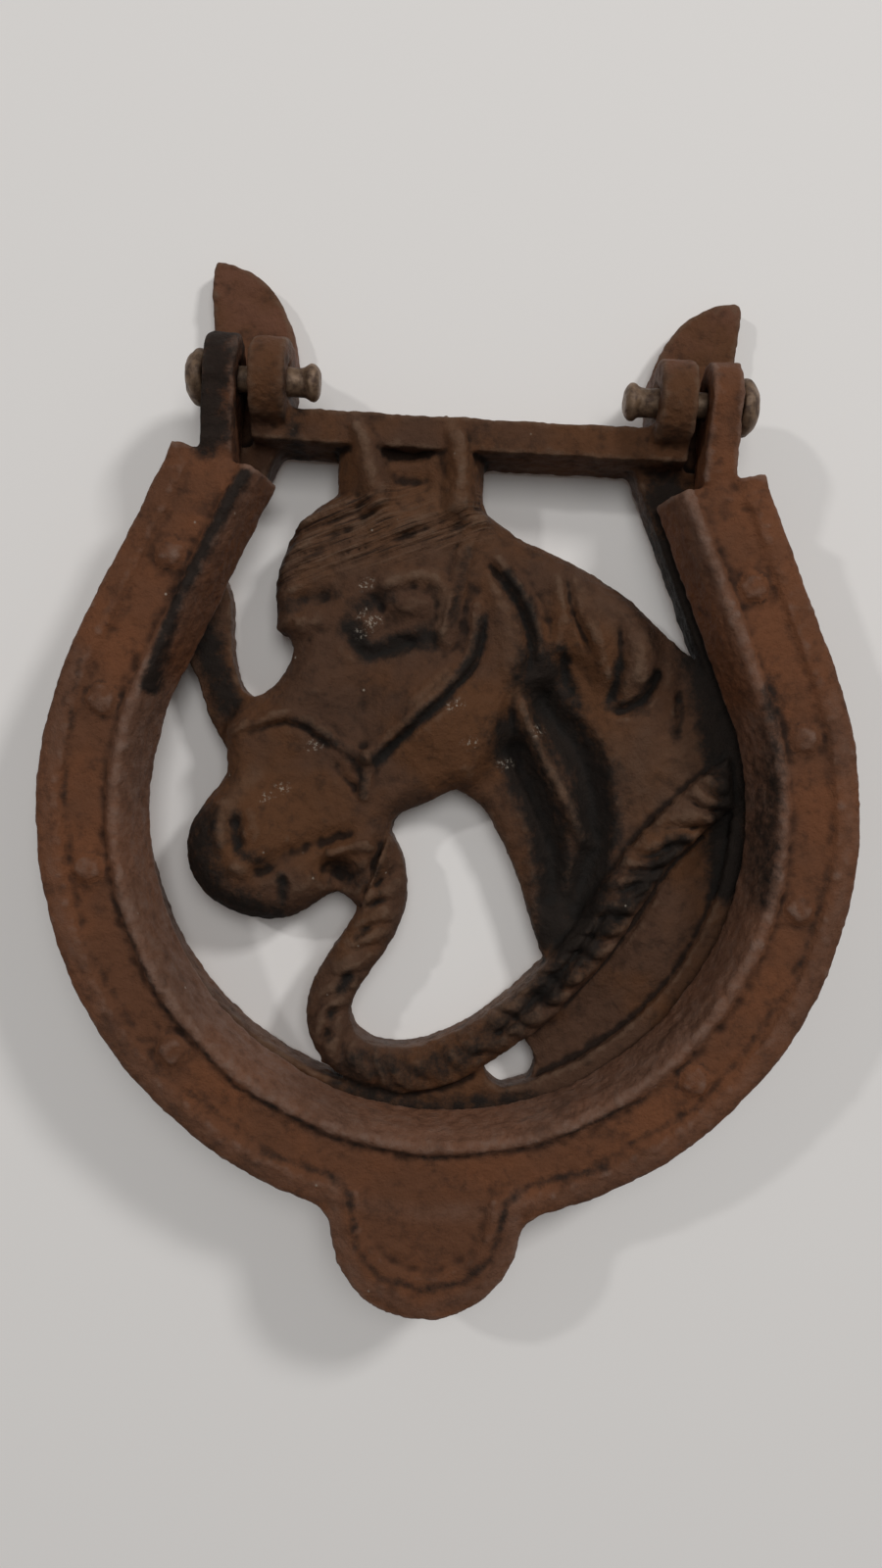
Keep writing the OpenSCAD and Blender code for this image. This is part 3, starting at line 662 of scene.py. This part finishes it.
# Sooty places and places of painted shade and shadow (in valleys, hollows and grooves, under the lid and
# straps, and where the striker shades the plate), as a line through x and z in mm, its half width and its
# strength.
PLATE_SOOT_AND_SHADE = [
    ([(14.5, 26), (18.8, 17.5), (25.2, 8.2), (27, -2), (25.6, -13), (23.7, -23)], 7.5, 1.0),
    ([(10, 14), (14.2, 5.8), (18.3, -2.8), (20, -11.5), (20.2, -21)], 6.5, 1.0),
    ([(-14, -46), (-3.4, -46.9), (4, -44), (11, -39), (19, -31)], 5.5, 0.6),
    ([(19, -31), (26, -22), (33, -13), (41, -4)], 4.5, 0.85),
    # painted shade on the muzzle's lower left edge
    ([(-43, -5), (-43.5, -12), (-39, -18), (-30, -21)], 6.5, 0.8),
    ([(-37.2, -3), (-36, -9), (-31, -11.4)], 2.4, 0.6),
    ([(-28.6, -13), (-28.4, -18)], 2.0, 0.7),
    # painted shadow under the lower lid
    ([(-19, 31.4), (-15.6, 27.6), (-9, 29.6), (-5.4, 30.4)], 3.6, 0.9),
    ([(-18.4, 35), (-12.4, 37.6)], 3.2, 0.6),
    ([(4.2, 34), (3.6, 28.6), (-1.2, 20.6), (-6.2, 15.6), (-13.2, 8.2)], 2.0, 0.85),
    ([(0.6, 46), (-0.4, 39.5), (-1.4, 33)], 2.0, 0.5),
    ([(-28, 14.4), (-23.6, 12.8), (-17.3, 8.7)], 1.9, 0.6),
    ([(-15.6, 8), (-15.4, 2.4)], 1.9, 0.6),
    ([(8, 42), (11.6, 37.2), (13.6, 31.6), (13.4, 27)], 2.8, 0.85),
    ([(29.2, 28), (28.3, 20.4), (33.7, 21.8), (36, 27)], 2.2, 0.75),
    ([(18.9, 30), (20, 25), (22, 20.6)], 2.4, 0.75),
    ([(40.6, 22), (40.2, 15.6)], 2.2, 0.5),
    ([(-47.5, 40), (-46.7, 30.8), (-40.8, 17)], 4.5, 0.9),
    # painted shadow of the striker on the rim beside it
    ([(36, 59), (38.3, 49.6), (44.8, 28.7), (50.4, 7.9), (51.4, -10)], 6.5, 1.0),
    # painted shadow of the striker on the web under the rope
    ([(-17, -50), (0, -54), (18, -51)], 4.0, 0.7),
    ([(-12.6, -17.4), (-11, -16.2)], 1.7, 0.5),
    ([(-15, -23.2), (-13, -21.6)], 1.7, 0.55),
    ([(-17, -32.6), (-16, -30.2)], 2.0, 0.75),
    ([(-18.8, -37.4), (-18.2, -35.8)], 1.6, 0.55),
    ([(-19, -41.6), (-19, -40.2)], 1.6, 0.55),
    ([(-12.4, -9.6), (-11.4, -14.6)], 2.0, 0.5),
    ([(-18.4, -12), (-15, -13)], 4.4, 0.55),
    ([(-31, 34.9), (-22, 37.6)], 2.8, 0.5),
    ([(-30.6, 60), (-31, 66), (-30, 76)], 3.6, 0.6),
]
STRIKER_SOOT_AND_SHADE = [
    ([(-38, 55.5), (-47.9, 33.7), (-52.1, 18.6)], 2.0, 0.95),
    ([(-43.4, 82), (-44.4, 62)], 6.0, 0.95),
    ([(-28, -59.4), (-17, -62.2), (-12.8, -65.6), (-12.2, -70), (-11.2, -75), (-7, -79.4), (0, -80.8)],
     1.3, 0.5),
    ([(30, -58.6), (17.4, -62.4), (13.6, -65.6), (13, -70), (11.6, -75), (7, -79.4), (0, -80.8)], 1.5, 0.6),
    ([(-55.8, -18), (-47, -35), (-33.4, -48.3), (-16, -56.4), (0, -58.7), (18, -55.9), (36, -46.4)],
     1.0, 0.55),
    # painted shade on the striker's right inner wall
    ([(53.5, 25), (55, 8), (54.5, -12)], 3.4, 0.6),
    ([(-64, 22), (-65.6, 0), (-60.7, -25), (-46.5, -46.5), (-24, -61)], 1.2, 0.4),
    ([(65.2, -6), (60.7, -25), (46.5, -46.5), (24, -61)], 1.2, 0.4),
]
# Where the casting is rubbed paler, in the same form
PLATE_WORN = [
    ([(10.8, 22.3), (15.1, 12.9), (22.4, 1), (27, -7)], 2.2, 0.8),
    ([(-39.4, -6), (-39, -1.6), (-37.2, 2), (-34.6, 4.7)], 2.2, 0.7),
    ([(-1.6, 24.2), (-6.6, 19)], 1.5, 0.9),
    ([(9.4, -36.4), (19.3, -26.6), (28, -16.4)], 2.2, 0.9),
    ([(-21, 70), (-18.6, 64.3), (-16.8, 58.7)], 1.6, 0.7),
    ([(-4.1, 70), (-2, 65.2), (-0.9, 59.6)], 1.6, 0.7),
    ([(-27, 44), (-14, 49.5), (0, 52)], 9.0, 0.45),
    ([(-12, 40.4), (-5, 41.4), (-2.8, 38), (-3.4, 31)], 1.9, 0.7),
    ([(32, 33), (32.7, 27.8), (31.9, 23.6)], 2.6, 0.5),
    ([(-13, -18), (-16, -27), (-18, -34)], 2.6, 0.5),
    ([(7, 42), (9.4, 33), (9.7, 26)], 3.0, 0.4),
    ([(-36.5, -11.8), (-36, -12.2)], 2.0, 0.8),
    ([(32, 12), (38, 2), (42, 12)], 9.0, 0.45),
    ([(20, 40), (28, 36)], 5.0, 0.4),
]
# Pale specks, and the line of the striker's raised inner bead
PLATE_SPECKS = [([(x, z), (x + 1.3, z + 0.5)], 1.5, 1.0) for x, z in (
    (-17.4, 34), (-15.6, 32.6), (-17.4, 30.6), (-17.4, 39), (2.4, 12), (-25, 10.2), (9.2, 8.8),
    (-30.4, 2.2), (-32.6, 0.6), (-0.4, 18.6), (14.6, 15.2))]
BEAD_R = 56.9
BEAD = [
    (BEAD_R * math.cos(math.radians(a)), BEAD_R * math.sin(math.radians(a))) for a in range(160, 381, 10)]
STRIKER_WORN = [
    ([(-36, 58)] + BEAD + [(36, 58)], 2.0, 0.9),
    ([(0.965 * x, 0.965 * z) for x, z in BEAD], 4.4, 0.85),
    ([(1.2 * x, 1.2 * z) for x, z in BEAD], 2.2, 0.4),
    ([(-15.6, -64), (-15, -72), (-11, -80.6), (0, -85), (11, -80.6), (15, -72), (15.6, -64)], 2.0, 0.55),
]


# A coarser grid over the whole striker, and the cells where its nail heads show
shoe_board = Board(-76, 76, -92, 66, SHOE_STEP)
shoe_which = look_down(shoe_board, STRIKER)[1]
nail_cells = shoe_which == STRIKER.index("nail_heads")


def hair_on(skin):
    """How much of the forelock's strands each point of the backplate carries."""
    in_front = skin.p[:, 1] < -9
    return board.sample(board.hair, skin.p[:, 0], skin.p[:, 2]) * in_front


def nail_shade_rings(skin):
    """Faint rings of painted shade round the nail heads' edges."""
    off = shoe_board.sample(shoe_board.distance(nail_cells, 3.0), skin.p[:, 0], skin.p[:, 2])
    in_front = skin.p[:, 1] < -15
    return 0.35 * smoothstep(1.6, 0.3, off) * (off > 0.2) * in_front


def cast_skin(obj, seed, times, soot_and_shade, worn, specks, plate):
    """Gives a casting its even mesh and rough skin, and stores its soot and painted shade, and where it is
    worn and speckled.
    """
    voxel_remesh(obj, VOXEL)
    skin = Skin(obj)
    skin.p = skin.smoothed(skin.p, times)
    skin.roughen(CAST_LAYERS, seed)
    # nothing may stand behind the door's face
    skin.p[:, 1] = np.minimum(skin.p[:, 1], 0)
    skin.wear_crests_and_shade_hollows()
    sooty_or_shaded = skin.laid(soot_and_shade)
    skin.store("soot_and_shade", sooty_or_shaded if plate else np.maximum(sooty_or_shaded, nail_shade_rings(skin)))
    skin.store("worn", skin.laid(worn))
    skin.store("speck", skin.laid(specks))
    skin.store("hair", hair_on(skin) if plate else np.zeros(len(skin.p)))
    shade_smooth(obj)


def make_backplate():
    """The plain CAD nodes softened, joined to the sculpted relief under one cast skin."""
    ground = softened(cad_copy([n for n in PLATE if n not in HORSE], "ground"), 0.5, 8)
    casting = joined("backplate_casting", ground, relief_object())
    cast_skin(casting, 11, 2, PLATE_SOOT_AND_SHADE, PLATE_WORN, PLATE_SPECKS, True)
    return casting


def shape_striker(skin):
    """Lets the flat outer margins fall away towards the outline, and lifts the worn nail heads."""
    margin_drop = 1.2
    nail_lift = 0.38
    grid = shoe_board
    open_middle = (np.hypot(grid.x, grid.z) < 60) | ((grid.z > 20) & (np.abs(grid.x) < 61.6 - 0.424 * grid.z))
    from_outline = grid.blur(grid.distance((shoe_which < 0) & ~open_middle, 8.0), 0.4)
    x, z = skin.p[:, 0], skin.p[:, 2]
    on_face = smoothstep(15, 18, -skin.p[:, 1])
    below_lugs = smoothstep(62, 58, z)
    drop = margin_drop * (1 - smoothstep(0, 4.2, grid.sample(from_outline, x, z))) * on_face * below_lugs
    lift = nail_lift * smoothstep(0, 1.8, grid.sample(grid.distance(~nail_cells, 4.0), x, z)) * on_face
    skin.p[:, 1] += drop - lift
    skin.write()


def make_striker():
    """The striker's CAD nodes softened and reshaped a little under one cast skin."""
    casting = softened(cad_copy(STRIKER, "striker_casting"), 0.42, 3)
    shape_striker(Skin(casting))
    cast_skin(casting, 31, 1, STRIKER_SOOT_AND_SHADE, STRIKER_WORN, [], False)
    return casting


def make_rivet(name, node, side):
    """A rivet turned from the CAD rivet's box: an uneven flattened head outside and a tail inside."""
    low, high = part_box(node)
    x0, x1 = low[0] / MM, high[0] / MM
    y, z = (low[1] + high[1]) / 2 / MM, (low[2] + high[2]) / 2 / MM
    length = x1 - x0
    head_r = (high[2] - low[2]) / 2 / MM - 0.15
    shank_r = 2.3
    tail_long, head_long = 5.7, 3.5
    spins = 48
    under_head = length - head_long
    # radius and place along the rivet; the straight shank lies between the two lists
    tail = [
        (0.0, 0.15), (1.5, 0.2), (2.5, 0.55), (3.15, 1.2), (3.2, 1.9), (2.75, 2.6), (2.55, 3.4),
        (2.55, tail_long)]
    head = [
        (shank_r, length / 2), (shank_r, under_head), (head_r - 0.5, under_head + 0.05),
        (head_r, under_head + 0.6), (head_r, under_head + 1.5), (head_r - 0.7, length - 1.1),
        (head_r - 2.0, length - 0.35), (1.5, length - 0.1), (0.0, length - 0.05)]
    turns = 2 * math.pi * np.arange(spins) / spins
    v = np.vstack([
        np.stack([np.full(spins, s), r * np.cos(turns), r * np.sin(turns)], 1)
        for r, s in np.vstack([curve(tail, 4), curve(head, 4)])])
    noise = Noise(51 + side)
    push = noise.at(v + 50.0, 2.6) * 0.22 + noise.at(v + 90.0, 0.9) * 0.09
    # the shank is nearly true, so that it stays clear of the striker's lug
    push[(v[:, 0] > tail_long - 0.3) & (v[:, 0] < under_head + 0.1)] *= 0.25
    scale = 1 + push / np.maximum(np.hypot(v[:, 1], v[:, 2]), 1.2)
    v[:, 1] *= scale
    v[:, 2] *= scale
    v[:, 0] = np.clip(v[:, 0] + 0.6 * push, 0.02, length - 0.02)
    rings = np.arange(len(v)).reshape(-1, spins)
    after = np.roll(rings, -1, 1)
    faces = list(np.stack([rings[:-1], after[:-1], after[1:], rings[1:]], 2).reshape(-1, 4))
    faces += [rings[0][::-1], rings[-1]]
    along = v[:, 0] if side > 0 else length - v[:, 0]
    out = np.stack([x0 + along, y + v[:, 1] * side, z + v[:, 2]], 1)
    obj = mesh_object(name, out, faces)
    shade_smooth(obj)
    return obj


# ---------------------------------------------------------------- materials

class Graph:
    """A short way to write a material's nodes."""

    def __init__(self, name):
        self.material = bpy.data.materials.new(name)
        self.material.use_nodes = True
        self.tree = self.material.node_tree
        self.shader = self.tree.nodes["Principled BSDF"]
        self.coord = self.tree.nodes.new("ShaderNodeTexCoord").outputs["Object"]

    def node(self, kind, **values):
        n = self.tree.nodes.new(kind)
        for key, value in values.items():
            setattr(n, key, value)
        return n

    def link(self, a, b):
        self.tree.links.new(a, b)

    def feed(self, value, socket):
        if hasattr(value, "is_output"):
            self.link(value, socket)
        else:
            socket.default_value = value

    def noise(self, size_mm, detail=3.0, roughness=0.55, seed=0.0):
        n = self.node("ShaderNodeTexNoise", noise_dimensions="4D")
        n.inputs["W"].default_value = seed
        n.inputs["Scale"].default_value = 1 / (size_mm * MM)
        n.inputs["Detail"].default_value = detail
        n.inputs["Roughness"].default_value = roughness
        self.link(self.coord, n.inputs["Vector"])
        return n.outputs["Fac"]

    def cells(self, size_mm):
        n = self.node("ShaderNodeTexVoronoi")
        n.inputs["Scale"].default_value = 1 / (size_mm * MM)
        self.link(self.coord, n.inputs["Vector"])
        return n.outputs["Distance"]

    def strands(self, turn, long_mm, wide_mm):
        """Noise drawn out along a direction in the front plane."""
        a = math.radians(turn)
        axes = (
            (math.cos(a) / long_mm, 0, math.sin(a) / long_mm),
            (-math.sin(a) / wide_mm, 0, math.cos(a) / wide_mm))
        place = self.node("ShaderNodeCombineXYZ")
        for k, axis in enumerate(axes):
            dot = self.node("ShaderNodeVectorMath", operation="DOT_PRODUCT")
            self.link(self.coord, dot.inputs[0])
            dot.inputs[1].default_value = tuple(v / MM for v in axis)
            self.link(dot.outputs["Value"], place.inputs[k])
        n = self.node("ShaderNodeTexNoise")
        n.inputs["Scale"].default_value = 1.0
        n.inputs["Detail"].default_value = 3.0
        self.link(place.outputs[0], n.inputs["Vector"])
        return n.outputs["Fac"]

    def attribute(self, name):
        return self.node("ShaderNodeAttribute", attribute_name=name).outputs["Fac"]

    def remap(self, value, a, b, low=0.0, high=1.0):
        n = self.node("ShaderNodeMapRange", interpolation_type="SMOOTHSTEP")
        self.feed(value, n.inputs["Value"])
        for key, v in (("From Min", a), ("From Max", b), ("To Min", low), ("To Max", high)):
            n.inputs[key].default_value = v
        return n.outputs["Result"]

    def math(self, operation, a, b):
        n = self.node("ShaderNodeMath", operation=operation)
        self.feed(a, n.inputs[0])
        self.feed(b, n.inputs[1])
        return n.outputs[0]

    def mix(self, factor, a, b):
        n = self.node("ShaderNodeMix", data_type="RGBA")
        self.feed(factor, n.inputs["Factor"])
        for value, key in ((a, "A"), (b, "B")):
            socket = next(s for s in n.inputs if s.name == key and s.type == "RGBA")
            self.feed(value if hasattr(value, "is_output") else (*value, 1), socket)
        return next(s for s in n.outputs if s.type == "RGBA")

    def bump(self, height, depth_mm, before=None):
        n = self.node("ShaderNodeBump")
        n.inputs["Strength"].default_value = 1.0
        n.inputs["Distance"].default_value = depth_mm * MM
        self.link(height, n.inputs["Height"])
        if before is not None:
            self.link(before, n.inputs["Normal"])
        return n.outputs["Normal"]


# The dark of soot, also laid down as painted shade and shadow
SOOT_AND_SHADE = (0.0125, 0.0105, 0.009)
SPECK = (0.36, 0.31, 0.25)


def cast_iron(name, brown, dark, rust, worn, top_brown=None):
    """Rough sand-cast iron: a brown patina, rustier in patches, with painted shade in the hollows, soot and
    painted shadow in places, and worn on crests.

    top_brown is a paler brown for the part above the crossbar; the darker brown below it is partly dark
    patina and partly painted shade of the deep relief.
    """
    g = Graph(name)
    patches = g.noise(20, 4)
    stains = g.noise(11, 5, 0.6, 7.0)
    mottle = g.noise(3.0, 5, 0.65)
    grain = g.noise(0.5, 4, 0.7)
    crest, cavity = g.attribute("crest"), g.attribute("cavity")

    # the metal's browns; on the backplate the brown below the crossbar is darker, partly dark patina and
    # partly painted shade
    base = brown
    if top_brown is not None:
        height = g.node("ShaderNodeSeparateXYZ")
        g.link(g.coord, height.inputs[0])
        base = g.mix(g.remap(height.outputs[2], 0.071, 0.082), brown, top_brown)
    colour = g.mix(g.remap(patches, 0.42, 0.62), base, rust)
    colour = g.mix(g.remap(mottle, 0.48, 0.72, 0.0, 0.6), colour, dark)
    colour = g.mix(g.remap(stains, 0.58, 0.72, 0.0, 0.6), colour, dark)
    colour = g.mix(g.remap(grain, 0.58, 0.82, 0.0, 0.45), colour, rust)

    # wear on the crests and where the casting is rubbed, painted shade in the hollows
    bright = g.math("MULTIPLY", g.remap(crest, 0.3, 1.0), g.remap(mottle, 0.3, 0.6, 0.9, 0.3))
    colour = g.mix(bright, colour, worn)
    rubbed = g.math("MULTIPLY", g.attribute("worn"), g.remap(mottle, 0.3, 0.62, 1.0, 0.35))
    colour = g.mix(g.math("MULTIPLY", rubbed, 0.75), colour, worn)
    colour = g.mix(g.remap(cavity, 0.2, 0.95, 0.0, 0.88), colour, tuple(c * 0.4 for c in dark))

    # light and dark strands of the forelock
    strands = g.strands(HAIR_SLOPE, 9.0, 0.55)
    hair = g.attribute("hair")
    colour = g.mix(g.math("MULTIPLY", hair, g.remap(strands, 0.54, 0.66, 0.0, 0.7)), colour, worn)
    colour = g.mix(g.math("MULTIPLY", hair, g.remap(strands, 0.46, 0.34, 0.0, 0.8)), colour, dark)

    # soot and painted shade and shadow, with a broken edge
    breakup = g.math("MULTIPLY", g.math("SUBTRACT", g.noise(2.2, 5, 0.7, 3.0), 0.5), 1.5)
    laid = g.math("ADD", g.attribute("soot_and_shade"), breakup)
    laid = g.math("MULTIPLY", g.remap(laid, 0.15, 0.85, 0.0, 0.93), g.remap(g.attribute("soot_and_shade"), 0.03, 0.25))
    colour = g.mix(laid, colour, SOOT_AND_SHADE)

    # a few pale specks: some scattered, some where they are laid
    scattered = g.math("MULTIPLY", g.remap(g.cells(5.5), 0.02, 0.055, 0.6, 0.0), g.remap(stains, 0.5, 0.58))
    crumbs = g.remap(g.noise(0.7, 4, 0.75, 9.0), 0.53, 0.6)
    placed = g.math("MULTIPLY", g.remap(g.attribute("speck"), 0.1, 0.9), crumbs)
    colour = g.mix(g.math("MAXIMUM", scattered, g.math("MULTIPLY", placed, 0.6)), colour, SPECK)

    g.link(colour, g.shader.inputs["Base Color"])
    g.link(g.remap(mottle, 0.3, 0.7, 0.66, 0.85), g.shader.inputs["Roughness"])
    g.shader.inputs["Specular IOR Level"].default_value = 0.1
    pitted = g.bump(g.noise(1.3, 5, 0.7), 0.40)
    combed = g.bump(g.math("MULTIPLY", strands, hair), 0.55, pitted)
    g.link(g.bump(grain, 0.22, combed), g.shader.inputs["Normal"])
    return g.material


def rivet_metal():
    """Dull yellowish steel with dark tarnish and a little rust."""
    g = Graph("rivet_metal")
    mottle = g.noise(1.6, 5, 0.65)
    grain = g.noise(0.4, 4, 0.6)
    colour = g.mix(g.remap(mottle, 0.4, 0.65), (0.185, 0.115, 0.068), (0.07, 0.038, 0.022))
    colour = g.mix(g.remap(grain, 0.6, 0.75), colour, (0.30, 0.23, 0.15))
    g.link(colour, g.shader.inputs["Base Color"])
    g.shader.inputs["Metallic"].default_value = 0.3
    g.link(g.remap(mottle, 0.3, 0.7, 0.42, 0.66), g.shader.inputs["Roughness"])
    dented = g.bump(g.noise(1.0, 4, 0.6), 0.2)
    g.link(g.bump(grain, 0.05, dented), g.shader.inputs["Normal"])
    return g.material


# ---------------------------------------------------------------- the scene

def camera():
    """Straight above the knocker as it lies on the table, turned a little."""
    roll = math.radians(3.3)
    at_x, at_y, at_z = -1.52 * MM, -220 * MM, 4.89 * MM
    data = bpy.data.cameras.new("photo_camera")
    data.lens = 27.05
    data.sensor_width = 36
    data.clip_start = 0.01
    obj = bpy.data.objects.new("photo_camera", data)
    bpy.context.scene.collection.objects.link(obj)
    c, s = math.cos(roll), math.sin(roll)
    obj.matrix_world = Matrix(((c, -s, 0, at_x), (0, 0, -1, at_y), (s, c, 0, at_z), (0, 0, 0, 1)))
    bpy.context.scene.camera = obj


def area_light(name, at, size, power):
    """A square light in metres and watts that looks at the middle of the knocker."""
    data = bpy.data.lights.new(name, "AREA")
    data.size = size
    data.energy = power
    obj = bpy.data.objects.new(name, data)
    bpy.context.scene.collection.objects.link(obj)
    obj.location = at
    obj.rotation_euler = (-Vector(at)).to_track_quat("-Z", "Y").to_euler()


def stage():
    """The pale table that the knocker lies on. It is see-through from behind."""
    half = 1500
    gap = 0.5
    corners = [(-half, gap, -half), (half, gap, -half), (half, gap, half), (-half, gap, half)]
    obj = mesh_object("table", corners, [(0, 1, 2, 3)])
    material = bpy.data.materials.new("table_white")
    material.use_nodes = True
    tree = material.node_tree
    shader = tree.nodes["Principled BSDF"]
    shader.inputs["Base Color"].default_value = (0.80, 0.775, 0.75, 1)
    shader.inputs["Roughness"].default_value = 0.7
    shader.inputs["Specular IOR Level"].default_value = 0.25
    clear = tree.nodes.new("ShaderNodeBsdfTransparent")
    mix = tree.nodes.new("ShaderNodeMixShader")
    tree.links.new(tree.nodes.new("ShaderNodeNewGeometry").outputs["Backfacing"], mix.inputs[0])
    tree.links.new(shader.outputs[0], mix.inputs[1])
    tree.links.new(clear.outputs[0], mix.inputs[2])
    tree.links.new(mix.outputs[0], tree.nodes["Material Output"].inputs["Surface"])
    obj.data.materials.append(material)
    obj.visible_shadow = False


def lights():
    """Two small ceiling lights that cast the two soft shadows, and wide faint ones before and behind."""
    world = bpy.data.worlds.new("room")
    bpy.context.scene.world = world
    world.use_nodes = True
    world.node_tree.nodes["Background"].inputs["Color"].default_value = (1, 1, 1, 1)
    world.node_tree.nodes["Background"].inputs["Strength"].default_value = 0.14
    area_light("ceiling_right", (0.9, -1.0, 0.9), 0.22, 9.1)
    area_light("ceiling_left", (-0.97, -1.0, 0.53), 0.08, 3.3)
    area_light("front", (0.1, -1.2, 0.3), 0.6, 5)
    area_light("behind", (0.0, 0.9, 0.5), 1.2, 9)


bpy.context.scene.view_settings.view_transform = "Standard"
camera()
stage()
lights()

# the plate's brown, below the crossbar, is darker than its top_brown partly as painted shade of the deep
# relief
plate_iron = cast_iron(
    "plate_iron", brown=(0.074, 0.037, 0.022), dark=(0.024, 0.015, 0.011), rust=(0.098, 0.042, 0.019),
    worn=(0.125, 0.075, 0.048), top_brown=(0.128, 0.056, 0.033))
shoe_iron = cast_iron(
    "shoe_iron", brown=(0.112, 0.047, 0.024), dark=(0.036, 0.019, 0.013), rust=(0.148, 0.057, 0.026),
    worn=(0.175, 0.108, 0.08))
steel = rivet_metal()

backplate = make_backplate()
backplate.data.materials.append(plate_iron)
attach(backplate, "backplate")
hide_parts(*PLATE)

striker = make_striker()
striker.data.materials.append(shoe_iron)
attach(striker, "striker")
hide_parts(*STRIKER)

for side, node in ((-1, "hinge_pin_left"), (1, "hinge_pin_right")):
    pin = make_rivet(node.replace("hinge_pin", "rivet"), node, side)
    pin.data.materials.append(steel)
    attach(pin, "backplate")
    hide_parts(node)
